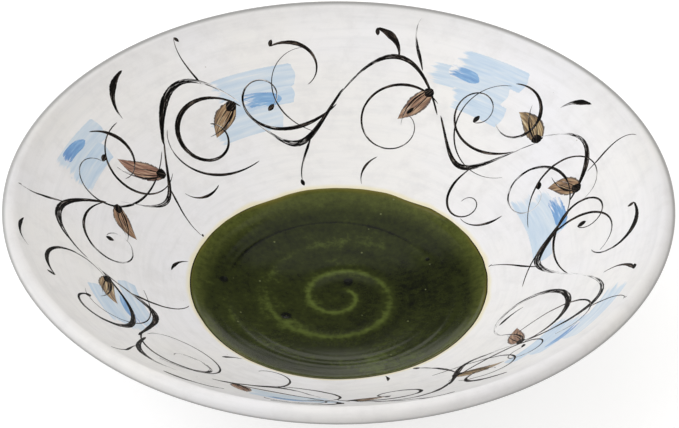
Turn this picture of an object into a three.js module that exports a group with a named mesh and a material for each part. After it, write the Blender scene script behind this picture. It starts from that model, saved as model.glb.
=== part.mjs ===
// A shallow bowl plate thrown in stoneware. A clay body stands on a luted foot ring, with
// white glaze inside and out and a pool of green glaze over the throwing spiral in its well.
// Millimetres, +Z up. The origin is the middle of the foot, on the table.

import * as THREE from "three";
import { mergeGeometries, mergeVertices } from "three/addons/utils/BufferGeometryUtils.js";

const { degToRad, clamp, lerp, smoothstep } = THREE.MathUtils;

// Rim and wall
const rimDiameter = 242;
const bowlDepth = 53.2; // from the top of the rim down to the glazed middle of the well
const lipRadius = 3; // the round lip, with its glaze on
const lipSlope = 41; // degrees the wall leans at the lip
const wallAtWell = 8.5; // clay where the wall leaves the well; it thins towards the lip
const lowerPullShare = 0.24; // how far the wall's curve keeps the well's slope, of its chord
const upperPullShare = 0.54; // how far it keeps the lip's slope

// Glazes
const whiteGlaze = 0.7;
const poolDepth = 1.5; // green glaze at the middle of the well
const poolDiameter = 110.8;
const poolRise = 9.6; // the pool's edge above its middle
const wellCurve = 2.7; // power of the well's hollow: higher is flatter in the middle

// Throwing spiral, which a finger leaves: a curl round the middle, and then out to the wall
const spiralTurns = 3.375;
const spiralMargin = 6.2; // smooth slope between the spiral's field and the pool's edge
const spiralAzimuth = 180; // degrees at which it starts; it opens clockwise seen from above
const curlRadius = 6;
const curlStartTurns = 0.4; // turns in which the finger gets from the middle to the curl
const curlEndTurns = 0.69; // turns after which it leaves the curl
const curlEaseTurns = 0.12; // how gently it does
const ridgeHeight = 1.1;
const ridgeFootTurns = 0.18; // half width of a ridge, in turns
const ridgeFootShare = 0.3; // height left there, of the crest's
const ridgeStartTurns = 0.15; // turns from the middle at which the ridge lifts off
const ridgeFullTurns = 0.45; // it is highest here, and fades from here to ridgeEndTurns
const ridgeEndTurns = 3.2;
const poolReliefShare = 0.55; // how much of the ridge still shows on top of the pool

// Floor and foot
const floorThickness = 6;
const footHeight = 6.5;
const footDiameter = 101;
const footWidth = 7.5;
const footDraft = 1; // the ring's walls lean in by this much towards the table
const footBevel = 0.8;
const shoulderHeight = 4.5; // bare clay of the body above the ring
const shoulderFlare = 1.2;

// Facets
const sides = 56; // round the plate, a multiple of 4
const wallSteps = 5;
const crestSteps = 3; // from the lip's top to its outermost point
const mergeDistance = 1e-4;

const rimRadius = rimDiameter / 2;
const poolRadius = poolDiameter / 2;
const footRadius = footDiameter / 2;
const clayLipRadius = lipRadius - whiteGlaze;
const wellLevel = footHeight + floorThickness + poolDepth;
const spiralRadius = poolRadius - spiralMargin;

const point = (radius, height) => new THREE.Vector2(radius, height);
const alongSlope = (degrees) => point(Math.cos(degToRad(degrees)), Math.sin(degToRad(degrees)));

// The well, as heights over a radius
const poolTop = (radius) => wellLevel + poolRise * (radius / poolRadius) ** wellCurve;
const poolThickness = (radius) => lerp(whiteGlaze, poolDepth, 1 - (radius / poolRadius) ** 2);
const wellClay = (radius) => poolTop(radius) - poolThickness(radius);
const poolEdgeSlope = THREE.MathUtils.radToDeg(Math.atan((poolRise * wellCurve) / poolRadius));

// The wall's glazed inner face, from the pool's edge to where the lip's round begins
const lipCentre = point(rimRadius - lipRadius, wellLevel + bowlDepth - lipRadius);
const wallStart = point(poolRadius, poolTop(poolRadius));
const wallEnd = lipCentre.clone().addScaledVector(alongSlope(lipSlope + 90), lipRadius);
const wallChord = wallStart.distanceTo(wallEnd);
const wallCurve = new THREE.CubicBezierCurve(
  wallStart,
  wallStart.clone().addScaledVector(alongSlope(poolEdgeSlope), lowerPullShare * wallChord),
  wallEnd.clone().addScaledVector(alongSlope(lipSlope), -upperPullShare * wallChord),
  wallEnd,
);

// A point at a depth under the glazed inner face; share runs from 0 at the well to 1 at the lip
function underWall(share, depth) {
  const along = wallCurve.getTangent(share);
  return wallCurve.getPoint(share).addScaledVector(point(along.y, -along.x), depth);
}

const wallClay = (share) => lerp(2 * clayLipRadius, wallAtWell, (1 - share) ** 2);
const outsideWall = (share, cover) =>
  underWall(share, 2 * whiteGlaze + wallClay(share) - cover);
const onLip = (degrees, radius) => lipCentre.clone().addScaledVector(alongSlope(degrees), radius);
const wallShares = Array.from({ length: wallSteps + 1 }, (_, step) => step / wallSteps);

// Inner face from the well's edge to the crest of the lip, at a depth under the glaze's surface
function innerFace(depth) {
  const wall = wallShares.map((share) => underWall(share, depth));
  const lip = [90 + lipSlope / 2, 90].map((degrees) => onLip(degrees, lipRadius - depth));
  return [...wall, ...lip];
}

// The body's bare shoulder over the foot ring
const shoulder = point(footRadius + shoulderFlare, footHeight + shoulderHeight);

// Outer face from the shoulder up to the last point before the crest, at a depth under its glaze
function outerFace(depth) {
  const up = outsideWall(0, whiteGlaze).sub(shoulder).normalize();
  const low = shoulder.clone().addScaledVector(point(up.y, -up.x), whiteGlaze - depth);
  const wall = wallShares.map((share) => outsideWall(share, depth));
  const lip = [(lipSlope - 90) / 2];
  for (let step = 0; step < crestSteps; step++) lip.push((90 * step) / crestSteps);
  return [low, ...wall, ...lip.map((degrees) => onLip(degrees, lipRadius - depth))];
}

// A profile turned round the plate's axis, as loose triangles, still with Y up
function turned(profile) {
  const lathe = new THREE.LatheGeometry(profile, sides);
  lathe.deleteAttribute("normal");
  lathe.deleteAttribute("uv");
  return lathe.toNonIndexed();
}

// Turns that the finger has moved outwards, past its curl, and how far out each of them takes it
function outwardTurns(turn) {
  return curlEaseTurns * Math.log(1 + Math.exp((turn - curlEndTurns) / curlEaseTurns));
}
const spiralPitch = (spiralRadius - curlRadius) / outwardTurns(spiralTurns);

// The spiral's distance from the middle after a number of turns
function spiralReach(turn) {
  if (turn <= 0) return 0;
  const curl = curlRadius * Math.sin(degToRad(90 * Math.min(turn / curlStartTurns, 1)));
  return curl + spiralPitch * outwardTurns(Math.min(turn, spiralTurns));
}

// Height of the ridge's crest, a number of turns out from the middle
function crestHeight(turn) {
  const lift = smoothstep(turn, ridgeStartTurns, ridgeFullTurns);
  const fade = clamp((ridgeEndTurns - turn) / (ridgeEndTurns - ridgeFullTurns), 0, 1);
  return ridgeHeight * lift * fade;
}

// The spiral's field as a disc, still with Y up. Its mesh lines follow the spiral: a band one
// turn wide winds out from the middle, and its first and last turns taper so that the disc
// has a centre point and a round edge. Line 0 of the band is a crest, and line 4 the next one.
const bandLines = [0, ridgeFootTurns, 0.5, 1 - ridgeFootTurns, 1];
const bandRelief = [1, ridgeFootShare, 0, ridgeFootShare, 1];

function spiralDisc(heightOver, reliefShare, facesUp) {
  const startStep = (sides * (spiralAzimuth + 90)) / 360;
  const corner = (step, line) => {
    const turn = step / sides;
    const radius = lerp(spiralReach(turn), spiralReach(turn + 1), bandLines[line]);
    const relief = bandRelief[line] * crestHeight(line < 2 ? turn : turn + 1);
    const place = (((startStep - step) % sides) + sides) % sides;
    const angle = place * (1 / sides) * Math.PI * 2;
    const height = heightOver(radius) + reliefShare * relief;
    return new THREE.Vector3(radius * Math.sin(angle), height, radius * Math.cos(angle));
  };
  const corners = [];
  for (let step = -sides; step < spiralTurns * sides; step++) {
    for (let line = 0; line < bandLines.length - 1; line++) {
      const near = corner(step, line);
      const next = corner(step + 1, line);
      const far = corner(step + 1, line + 1);
      const last = corner(step, line + 1);
      corners.push(...(facesUp ? [near, next, far] : [near, far, next]));
      corners.push(...(facesUp ? [near, far, last] : [near, last, far]));
    }
  }
  return new THREE.BufferGeometry().setFromPoints(corners);
}

// One closed surface of several, without the triangles that shrink to a line, turned to Z up
function closed(surfaces) {
  const whole = mergeVertices(mergeGeometries(surfaces), mergeDistance);
  const kept = [];
  for (let first = 0; first < whole.index.count; first += 3) {
    const [a, b, c] = [0, 1, 2].map((offset) => whole.index.getX(first + offset));
    if (a !== b && b !== c && c !== a) kept.push(a, b, c);
  }
  whole.setIndex(kept);
  whole.rotateX(Math.PI / 2);
  whole.computeVertexNormals();
  return whole;
}

const loop = (profile) => [...profile, profile[0].clone()];
const ringOver = (height) => (radius) => point(radius, height(radius));
const wellRings = [(spiralRadius + poolRadius) / 2, spiralRadius];

function stonewareBody() {
  const base = [point(0, footHeight), point(footRadius, footHeight)];
  const outside = outerFace(whiteGlaze);
  const inside = innerFace(whiteGlaze).reverse();
  const profile = [...base, ...outside, ...inside, ...wellRings.map(ringOver(wellClay))];
  return closed([turned(profile), spiralDisc(wellClay, 1, true)]);
}

function greenPool() {
  const under = wellRings.toReversed().map(ringOver(wellClay));
  const top = wellRings.map(ringOver(poolTop));
  return closed([
    turned([...under, underWall(0, whiteGlaze), underWall(0, 0), ...top]),
    spiralDisc(poolTop, poolReliefShare, true),
    spiralDisc(wellClay, 1, false),
  ]);
}

function innerGlaze() {
  return closed([turned(loop([...innerFace(whiteGlaze), ...innerFace(0).reverse()]))]);
}

function outerGlaze() {
  const crest = (radius) => onLip(90, radius);
  const clay = [...outerFace(whiteGlaze), crest(clayLipRadius)].reverse();
  return closed([turned(loop([...outerFace(0), crest(lipRadius), ...clay]))]);
}

function footRing() {
  const inside = footRadius - footWidth;
  return closed([
    turned(
      loop([
        point(inside + footDraft, footBevel),
        point(inside + footDraft + footBevel, 0),
        point(footRadius - footDraft - footBevel, 0),
        point(footRadius - footDraft, footBevel),
        point(footRadius, footHeight),
        point(inside, footHeight),
      ]),
    ),
  ]);
}

const finishes = {
  bareStoneware: { color: "#b5a48c", roughness: 0.9, metalness: 0 },
  whiteGloss: { color: "#dfdfe0", roughness: 0.15, metalness: 0 },
  greenGloss: { color: "#3a431d", roughness: 0.1, metalness: 0 },
};

const plate = new THREE.Group();
plate.name = "bowl_plate";

function add(name, geometry, finish) {
  const mesh = new THREE.Mesh(geometry, new THREE.MeshStandardMaterial(finishes[finish]));
  mesh.name = name;
  plate.add(mesh);
}

add("stoneware_body", stonewareBody(), "bareStoneware");
add("foot_ring", footRing(), "bareStoneware");
add("inner_white_glaze", innerGlaze(), "whiteGloss");
add("outer_white_glaze", outerGlaze(), "whiteGloss");
add("green_glaze_pool", greenPool(), "greenGloss");

export default plate;
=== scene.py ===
import bisect
import itertools
import math
import random

import bmesh
import bpy
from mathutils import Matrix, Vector, noise


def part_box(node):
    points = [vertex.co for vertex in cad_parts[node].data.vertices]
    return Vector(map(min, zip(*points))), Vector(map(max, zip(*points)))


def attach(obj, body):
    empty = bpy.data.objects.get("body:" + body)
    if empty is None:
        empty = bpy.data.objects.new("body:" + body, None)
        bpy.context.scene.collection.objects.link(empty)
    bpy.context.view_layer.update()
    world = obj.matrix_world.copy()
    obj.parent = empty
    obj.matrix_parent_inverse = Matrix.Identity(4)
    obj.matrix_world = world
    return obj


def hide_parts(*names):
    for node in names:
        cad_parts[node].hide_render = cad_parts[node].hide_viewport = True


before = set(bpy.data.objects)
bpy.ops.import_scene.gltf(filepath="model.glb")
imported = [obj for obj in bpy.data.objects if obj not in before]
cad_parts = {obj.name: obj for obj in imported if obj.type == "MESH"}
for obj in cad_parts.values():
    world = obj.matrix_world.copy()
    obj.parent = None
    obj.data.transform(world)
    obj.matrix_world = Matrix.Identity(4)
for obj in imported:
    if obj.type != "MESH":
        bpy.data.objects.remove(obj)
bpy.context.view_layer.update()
print("frame loaded")

mm = 0.001  # shapes are worked out in millimetres, meshes are stored in metres


def colour(hexValue):
    channels = [int(hexValue[place:place + 2], 16) / 255 for place in (1, 3, 5)]
    linear = [c / 12.92 if c <= 0.04045 else ((c + 0.055) / 1.055) ** 2.4 for c in channels]
    return (*linear, 1.0)


def addNode(tree, kind, settings={}, links={}):
    node = tree.nodes.new(kind)
    for name, value in settings.items():
        if name == "stops":
            while len(node.color_ramp.elements) < len(value):
                node.color_ramp.elements.new(1.0)
            for stop, (place, tone) in zip(node.color_ramp.elements, value):
                stop.position, stop.color = place, colour(tone)
        elif isinstance(name, int) or name in node.inputs:
            node.inputs[name].default_value = value
        else:
            setattr(node, name, value)
    for name, source in links.items():
        tree.links.new(source, node.inputs[name])
    return node


def smooth(low, high, value):
    share = min(max((value - low) / (high - low), 0.0), 1.0)
    return share * share * (3 - 2 * share)


def between(low, high, share):
    return low + (high - low) * share


def hill(away, width):  # 1 in the middle, and falling off to nothing on both sides
    return math.exp(-((away / width) ** 2))


def heading(degrees):
    return Vector((math.cos(math.radians(degrees)), math.sin(math.radians(degrees))))


def roundAt(angle):
    return Vector((math.cos(angle), math.sin(angle), 0))


def pushedOut(place, away):  # x and y of a point that moves away from the plate's axis
    grow = 1 + away / max(math.hypot(place.x, place.y), 1)
    return place.x * grow, place.y * grow


# The plate's form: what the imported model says, and the curves that its wall and well follow
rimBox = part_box("outer_white_glaze")
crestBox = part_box("inner_white_glaze")
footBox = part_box("foot_ring")

form = {
    "rimRadius": rimBox[1].x / mm,
    "lipRadius": (rimBox[1].x - crestBox[1].x) / mm,
    "topLevel": rimBox[1].z / mm,
    "lipSlope": 41,  # degrees
    "wellLevel": 14.0,  # glazed middle of the well
    "poolRadius": 55.4,
    "poolRise": 9.6,
    "wellCurve": 2.7,
    "lowerPull": 0.24,  # of the wall's chord
    "upperPull": 0.54,
    "glaze": 0.7,
    "wallAtWell": 8.5,
    "footRadius": footBox[1].x / mm,
    "footHeight": footBox[1].z / mm,
    "shoulderHeight": 4.5,
    "shoulderFlare": 1.2,
    "glazeSides": 400,
    "claySides": 200,
    "lipSteps": 8,  # round the clay's lip
}


def wellTop(radius):
    return form["wellLevel"] + form["poolRise"] * (radius / form["poolRadius"]) ** form["wellCurve"]


poolEdgeSlope = math.degrees(math.atan(form["poolRise"] * form["wellCurve"] / form["poolRadius"]))
lipCentre = Vector((form["rimRadius"] - form["lipRadius"], form["topLevel"] - form["lipRadius"]))
lipStart = form["lipSlope"] + 90  # degrees at which the lip's round begins, inside
lipStop = form["lipSlope"] - 90
wallStart = Vector((form["poolRadius"], wellTop(form["poolRadius"])))
wallEnd = lipCentre + heading(lipStart) * form["lipRadius"]
wallChord = (wallEnd - wallStart).length
wallPulls = [
    wallStart,
    wallStart + heading(poolEdgeSlope) * wallChord * form["lowerPull"],
    wallEnd - heading(form["lipSlope"]) * wallChord * form["upperPull"],
    wallEnd,
]


def wallPoint(share, depth=0.0):  # depth under the glazed inner face
    a, b, c, d = wallPulls
    rest = 1 - share
    place = a * rest**3 + b * 3 * rest**2 * share + c * 3 * rest * share**2 + d * share**3
    along = (b - a) * rest**2 + (c - b) * 2 * rest * share + (d - c) * share**2
    along.normalize()
    return place + Vector((along.y, -along.x)) * depth


def outerWall(share, depth=0.0):  # depth under the glazed outer face
    clayAtLip = 2 * (form["lipRadius"] - form["glaze"])
    clay = between(clayAtLip, form["wallAtWell"], (1 - share) ** 2)
    return wallPoint(share, 2 * form["glaze"] + clay - depth)


def onLip(degrees, radius):
    return lipCentre + heading(degrees) * radius


def clayWall(cover, steps):  # up the outside of the wall, round the lip and down the inside
    shares = [step / steps for step in range(steps + 1)]
    turns = [lipStop + 180 * step / form["lipSteps"] for step in range(1, form["lipSteps"])]
    return [
        *(outerWall(share, cover) for share in shares),
        *(onLip(degrees, form["lipRadius"] - cover) for degrees in turns),
        *(wallPoint(1 - share, cover) for share in shares),
    ]


# The wall's slant lengths, so that a place on it can be given in real millimetres
wallSamples = 400
slants = [0.0]
for sample in range(wallSamples):
    step = wallPoint((sample + 1) / wallSamples) - wallPoint(sample / wallSamples)
    slants.append(slants[-1] + step.length)
wallLength = slants[-1]
lipLength = math.pi * form["lipRadius"]
lipEnd = wallLength + lipLength
outerEnd = 2 * wallLength + lipLength


def shareAt(slant):
    place = min(max(bisect.bisect_right(slants, slant) - 1, 0), wallSamples - 1)
    within = (slant - slants[place]) / (slants[place + 1] - slants[place])
    return (place + within) / wallSamples


def wallReach(slant):
    return wallPoint(shareAt(slant)).x


# What the hand leaves: throwing rings on the wall, and a rim that isn't quite round or level
hand = {
    "ringSpacing": 6.4,
    "ringHeight": 0.028,
    "ringWander": 4,  # radians by which the swell shifts the rings
    "swellSize": 34,
    "swellHeight": 0.16,
    "swellRound": 60,  # radius at which the swell is as long round the plate as up its wall
    "fadeIn": (1, 9),  # slants between which the rings begin
    "fadeOut": 6,  # below the lip, where they end
    "rimFrom": 70,  # radius from which the soft wall gave way
    "rimOut": 0.35,
    "rimDown": 0.25,
    "rimLobes": ((2, 0.6, 0.7), (5, 0.4, 2.1)),  # number of lobes, share and phase
    "rimDips": (3, 1.2),
    "seed": 11,
}


def throwing(slant, angle):  # height over the perfect wall
    fade = smooth(*hand["fadeIn"], slant)
    fade *= 1 - smooth(wallLength - hand["fadeOut"], wallLength, slant)
    across, along = hand["swellRound"] * math.cos(angle), hand["swellRound"] * math.sin(angle)
    place = Vector((slant, across, along)) / hand["swellSize"]
    swell = noise.noise(place + Vector((hand["seed"], 0, 0)))
    rings = math.sin(2 * math.pi * slant / hand["ringSpacing"] + angle + hand["ringWander"] * swell)
    return fade * (hand["ringHeight"] * rings + hand["swellHeight"] * swell)


def warped(place):  # a point in millimetres, moved as the soft rim moved
    weight = smooth(hand["rimFrom"], form["rimRadius"], math.hypot(place.x, place.y))
    angle = math.atan2(place.y, place.x)
    lobes = sum(part * math.cos(count * angle + phase) for count, part, phase in hand["rimLobes"])
    dips, phase = hand["rimDips"]
    out = hand["rimOut"] * weight * (lobes - 1) / 2
    down = hand["rimDown"] * weight * (math.cos(dips * angle + phase) - 1) / 2
    return Vector((*pushedOut(place, out), place.z + down))


# Meshes

flowRadius = 100  # radius at which the flow attribute is in real millimetres round the plate
mergeDistance = 1e-4


def flowAt(slant, angle):  # where a point lies along the slope and round the plate
    return Vector((slant, flowRadius * math.cos(angle), flowRadius * math.sin(angle)))


def markFlow(bm):  # on the clay, where a point's slope is its reach and height together
    flowLayer = bm.verts.layers.float_vector.new("flow")
    for vert in bm.verts:
        slope = math.hypot(vert.co.x, vert.co.y) + vert.co.z
        vert[flowLayer] = flowAt(slope, math.atan2(vert.co.y, vert.co.x))


def turnProfile(bm, profile, sides, closed=False, layer=None, marks=()):
    # A profile of (radius, height), turned round the axis. Its points can carry marks in a layer
    points = [bm.verts.new((place.x, 0, place.y)) for place in profile]
    ends = points[1:] + points[:1] if closed else points[1:]
    edges = [bm.edges.new(pair) for pair in zip(points, ends)]
    for vert, mark in zip(points, marks):
        vert[layer] = mark
    bmesh.ops.spin(
        bm, geom=points + edges, cent=(0, 0, 0), axis=(0, 0, 1), angle=2 * math.pi,
        steps=sides, use_merge=True,
    )
    bmesh.ops.remove_doubles(bm, verts=bm.verts, dist=mergeDistance)
    bmesh.ops.recalc_face_normals(bm, faces=bm.faces)


def newPiece(bm, name, material, stands=()):
    bmesh.ops.scale(bm, vec=(mm, mm, mm), verts=bm.verts)
    mesh = bpy.data.meshes.new(name)
    bm.to_mesh(mesh)
    bm.free()
    mesh.materials.append(material)
    mesh.shade_smooth()
    piece = bpy.data.objects.new(name, mesh)
    bpy.context.scene.collection.objects.link(piece)
    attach(piece, "root")
    if stands:
        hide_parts(*stands)
    print(name, len(mesh.polygons), "faces")


# The green pool's form. Places on it are x and y in millimetres
pool = {
    "rises": ((8.6, 2), (1.0, 8)),  # a shallow dish that turns up at the wall, with their powers
    "centreDepth": 1.5,
    "edgeDepth": 0.7,
    "edgeWaves": 2.2,  # radius of the circle on which the edge's noise is read
    "edgeRuns": ((1, 0.35), (5, 0.12)),  # how much finer, and how far the edge runs with it
    "edgeFrom": 44,  # reach from which the top follows the edge's outline
    "flats": ((118, 9, 0.7), (60, 7, 0.8), (207, 10, 0.5)),  # azimuth, half width, millimetres
    "bead": (0.16, 1.0, 0.8, 0.5, 1.4),  # height, place and width, and where and how it drops
    "spiralRadius": 49.2,
    "spiralTurns": 3.375,
    "spiralAzimuth": 180,
    "curlRadius": 6,
    "curlTurns": (0.4, 0.69, 0.12),  # to get to the curl, to leave it, and how gently
    "ridge": 1.1,  # of the clay, and how much of it shows through on top
    "ridgeShown": 0.24,
    "ridgeWidth": (1.9, 4.0),  # at the middle and where it ends
    "ridgeRise": (0.15, 0.45),
    "ridgeEnd": 3.2,
    "relief": (1.0, 0.4),  # sharpness and fading of the ridge where it shows as relief
    "filled": ((-4, 31, 13, 0.5), (-2, -22, 14, 0.65), (-22, -31, 11, 0.7)),  # place, size and amount
    "swell": (0.12, 16),  # height and size
    "rings": (0.035, 0.23, 130),  # height, rings to a millimetre, degrees that they drift over
    "ringsFrom": (8, 22),
    "ripples": (0.13, 0.42, 0.9),  # height, ripples to a millimetre and round the plate
    "ripplesFrom": (33, 41),
    "levelEdge": 6,  # width of the border in which swell, rings and ripples fade out
    "crease": (35, 38.6, 178, 42.0, 0.45),  # azimuth and reach of both ends, half width
    "creaseDepth": 0.08,
    "pits": (  # place and radius
        (3.5, 9.7, 1.1), (-19.4, -11.1, 1.4), (-42.7, 5.2, 1.0), (33.4, 18.2, 0.5), (-49, 17, 0.5),
    ),
    "pitDepth": 0.15,
    "pitHighlightSharpness": 9.0,  # how much sharper the painted highlight at the bottom of a pit is than the pit
    # how much lighter the green is where the melt is thin: over the ridge's crest and shoulders,
    # with their sharpness and fading, and on the rings; how dark the painted shade in the pits is,
    # and how light the painted highlight at their bottom; and how much darker the crease is
    "crestThin": (0.38, 7.0, 0.6),
    "shoulderThin": (0.1, 0.24, 0.8, 0.2),  # the second amount is added where the crest shows
    "crestSeen": (36, 23),  # reaches between which the crest's colour shows less and less
    "ringThin": 5,
    "pitShade": -2.6,
    "pitHighlight": 3.3,
    "creaseThin": -0.4,
    "thinPatchesAndReflection": (  # place, size and amount; the lighter patch at (14, -45), on the near side, is painted reflection
        (32, 3, 12, -0.3), (8, 40, 18, 0.12), (6, 8, 6, -0.14), (14, -45, 16, 0.34),
        (-1, 0.5, 2.2, 0.3), (-24, -14, 18, 0.1), (6, -21, 12, -0.14),
    ),
    "oliveLean": 0.45,  # how much wider the olive border is on the far side
    # the amber feather and the dark line at the edge: all round, added on the far side, at random
    # and how finely
    "feather": (0.7, 0.8, 1.4, 3.1),
    "featherShown": 0.85,
    "leastFeather": 0.3,
    "edgeLine": (0.95, -1.3, 0.9, 4.3),
    "edgeLineWidth": (1.0, 0.5),
    "topRings": 120,
    "edgeRings": 24,
    "edgeZone": 4,
    "underRings": 24,
}


def poolOutline(angle):  # where the pool's edge lies, past the wall's foot, in millimetres
    turn = math.degrees(angle) % 360
    around = roundAt(angle) * pool["edgeWaves"]
    edge = sum(run * noise.noise(around * finer) for finer, run in pool["edgeRuns"])
    for middle, width, cut in pool["flats"]:
        edge -= cut * hill(turn - middle, width)
    return edge


def poolTop(radius):
    share = radius / form["poolRadius"]
    return form["wellLevel"] + sum(rise * share**power for rise, power in pool["rises"])


def poolDepth(radius):
    share = 1 - (radius / form["poolRadius"]) ** 2
    return between(pool["edgeDepth"], pool["centreDepth"], share)


def outwardTurns(turn):
    leave, ease = pool["curlTurns"][1:]
    return ease * math.log(1 + math.exp((turn - leave) / ease))


def spiralReach(turn):  # the finger curls round the middle, and then moves out to the wall
    pitch = (pool["spiralRadius"] - pool["curlRadius"]) / outwardTurns(pool["spiralTurns"])
    curl = math.sin(math.pi / 2 * min(turn / pool["curlTurns"][0], 1))
    return pool["curlRadius"] * curl + pitch * outwardTurns(turn)


def spiralRidge(x, y, sharpness, fading):  # the finger's ridge, as a share of its height
    lag = ((pool["spiralAzimuth"] - math.degrees(math.atan2(y, x))) / 360) % 1
    start, full = pool["ridgeRise"]
    highest = 0.0
    for whole in range(math.ceil(pool["ridgeEnd"])):
        crest = whole + lag
        width = between(*pool["ridgeWidth"], min(crest / pool["ridgeEnd"], 1))
        across = (math.hypot(x, y) - spiralReach(crest)) / width
        left = min(max((pool["ridgeEnd"] - crest) / (pool["ridgeEnd"] - full), 0), 1)
        height = smooth(start, full, crest) * left**fading * math.exp(-sharpness * across * across)
        highest = max(highest, height)
    return highest


def pitAt(x, y, sharpness=1.0):  # burst bubbles
    deepest = 0.0
    for pitX, pitY, radius in pool["pits"]:
        away = math.hypot(x - pitX, y - pitY) / radius
        deepest = max(deepest, math.exp(-sharpness * away * away))
    return deepest


def spotsAt(x, y, spots):
    return sum(
        amount * hill(math.hypot(x - spotX, y - spotY), size)
        for spotX, spotY, size, amount in spots
    )


def creaseAt(reach, angle):  # a fine dark fold where the melt stopped running
    first, firstReach, last, lastReach, width = pool["crease"]
    share = (math.degrees(angle) - first) / (last - first)
    if not 0 < share < 1:
        return 0.0
    across = reach - between(firstReach, lastReach, share)
    return hill(across, width) * smooth(0, 0.15, share) * smooth(1, 0.7, share)


# Materials

colourA, colourB = 6, 7  # the colour sockets of a Mix node, and its colour result
mixed = 2

whiteCoat = {
    "cool": "#ecebee",
    "warm": "#edebe9",
    "mottle": "#dad8d8",
    "streak": "#d9d9da",
    "speck": "#8d8272",
    "halo": "#e8e0c2",
    "haloReach": 2.1,  # millimetres of iron-stained white round the pool
    # grey for the painted shade along the rim and the thin glaze on the lip
    "lipTone": "#a09f9e",
    "cloudSize": 55,
    "mottleSize": 8,
    "streakWidth": 1.9,
    "streakLength": 26,
    "speckSpacing": 13,
    "speckSize": 0.32,
    "peelSize": 3.5,
    "skin": (0.36, 0.2),  # roughness and gloss
}


def newMaterial(name):
    material = bpy.data.materials.new(name)
    material.use_nodes = True
    tree = material.node_tree
    tree.nodes.clear()
    return material, tree


def glazeColour(tree):  # the white itself, shared by the brushwork that lets it show
    place = addNode(tree, "ShaderNodeTexCoord")
    flow = addNode(tree, "ShaderNodeAttribute", {"attribute_name": "flow"})
    clouds = addNode(
        tree, "ShaderNodeTexNoise", {"Scale": 1 / (whiteCoat["cloudSize"] * mm), "Detail": 3.0},
        {"Vector": place.outputs["Object"]},
    )
    cloudShare = addNode(
        tree, "ShaderNodeMapRange", {"From Min": 0.35, "From Max": 0.65},
        {"Value": clouds.outputs["Fac"]},
    )
    tone = addNode(
        tree, "ShaderNodeMix",
        {"data_type": "RGBA", colourA: colour(whiteCoat["cool"]), colourB: colour(whiteCoat["warm"])},
        {0: cloudShare.outputs["Result"]},
    )
    patches = addNode(
        tree, "ShaderNodeTexNoise",
        {"Scale": 1 / (whiteCoat["mottleSize"] * mm), "Detail": 5.0, "Roughness": 0.65},
        {"Vector": place.outputs["Object"]},
    )
    patchShare = addNode(
        tree, "ShaderNodeMapRange", {"From Min": 0.48, "From Max": 0.72, "To Max": 0.5},
        {"Value": patches.outputs["Fac"]},
    )
    across, along = 1 / whiteCoat["streakWidth"], 1 / whiteCoat["streakLength"]
    stretch = addNode(
        tree, "ShaderNodeMapping", {"Scale": (across, along, along)},
        {"Vector": flow.outputs["Vector"]},
    )
    streaks = addNode(
        tree, "ShaderNodeTexNoise", {"Scale": 1.0, "Detail": 4.0, "Roughness": 0.6},
        {"Vector": stretch.outputs["Vector"]},
    )
    streakShare = addNode(
        tree, "ShaderNodeMapRange", {"From Min": 0.46, "From Max": 0.74, "To Max": 0.34},
        {"Value": streaks.outputs["Fac"]},
    )
    specks = addNode(
        tree, "ShaderNodeTexVoronoi", {"Scale": 1 / (whiteCoat["speckSpacing"] * mm)},
        {"Vector": place.outputs["Object"]},
    )
    speckRadius = whiteCoat["speckSize"] / whiteCoat["speckSpacing"]
    speckShare = addNode(
        tree, "ShaderNodeMapRange",
        {"From Min": 0.5 * speckRadius, "From Max": 1.2 * speckRadius, "To Min": 0.5, "To Max": 0.0},
        {"Value": specks.outputs["Distance"]},
    )
    for name, share in (("mottle", patchShare), ("streak", streakShare), ("speck", speckShare)):
        tone = addNode(
            tree, "ShaderNodeMix", {"data_type": "RGBA", colourB: colour(whiteCoat[name])},
            {0: share.outputs["Result"], colourA: tone.outputs[mixed]},
        )
    return tone.outputs[mixed], streaks.outputs["Fac"]


def glazeSkin(tree, tone, streaks, roughness, gloss):  # with a melt's slight orange peel
    place = addNode(tree, "ShaderNodeTexCoord")
    peel = addNode(
        tree, "ShaderNodeTexNoise", {"Scale": 1 / (whiteCoat["peelSize"] * mm), "Detail": 2.0},
        {"Vector": place.outputs["Object"]},
    )
    wave = addNode(
        tree, "ShaderNodeBump", {"Strength": 0.25, "Distance": 0.05 * mm},
        {"Height": streaks},
    )
    skin = addNode(
        tree, "ShaderNodeBump", {"Strength": 0.5, "Distance": 0.08 * mm},
        {"Height": peel.outputs["Fac"], "Normal": wave.outputs["Normal"]},
    )
    shader = addNode(
        tree, "ShaderNodeBsdfPrincipled",
        {"Roughness": roughness, "IOR": 1.5, "Specular IOR Level": gloss},
        {"Base Color": tone, "Normal": skin.outputs["Normal"]},
    )
    addNode(tree, "ShaderNodeOutputMaterial", {}, {"Surface": shader.outputs["BSDF"]})


def dippedWhiteGlaze():
    # Opaque tin-white stoneware glaze, dipped and fired glossy: cool white with warm clouds,
    # drag marks of the throwing under it, stained where the green has run into it
    material, tree = newMaterial("dipped white stoneware glaze")
    tone, streaks = glazeColour(tree)
    away = addNode(tree, "ShaderNodeAttribute", {"attribute_name": "fromPool"})
    haloShare = addNode(
        tree, "ShaderNodeMapRange",
        {"interpolation_type": "SMOOTHSTEP", "From Min": 0.0, "From Max": whiteCoat["haloReach"],
         "To Min": 1.0, "To Max": 0.0},
        {"Value": away.outputs["Fac"]},
    )
    # grey painted shade along the rim's silhouette, and thin glaze over the lip
    lip = addNode(tree, "ShaderNodeAttribute", {"attribute_name": "lipWear"})
    for name, share in (("halo", haloShare.outputs["Result"]), ("lipTone", lip.outputs["Fac"])):
        layer = addNode(
            tree, "ShaderNodeMix", {"data_type": "RGBA", colourB: colour(whiteCoat[name])},
            {0: share, colourA: tone},
        )
        tone = layer.outputs[mixed]
    glazeSkin(tree, tone, streaks, *whiteCoat["skin"])
    return material


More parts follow.
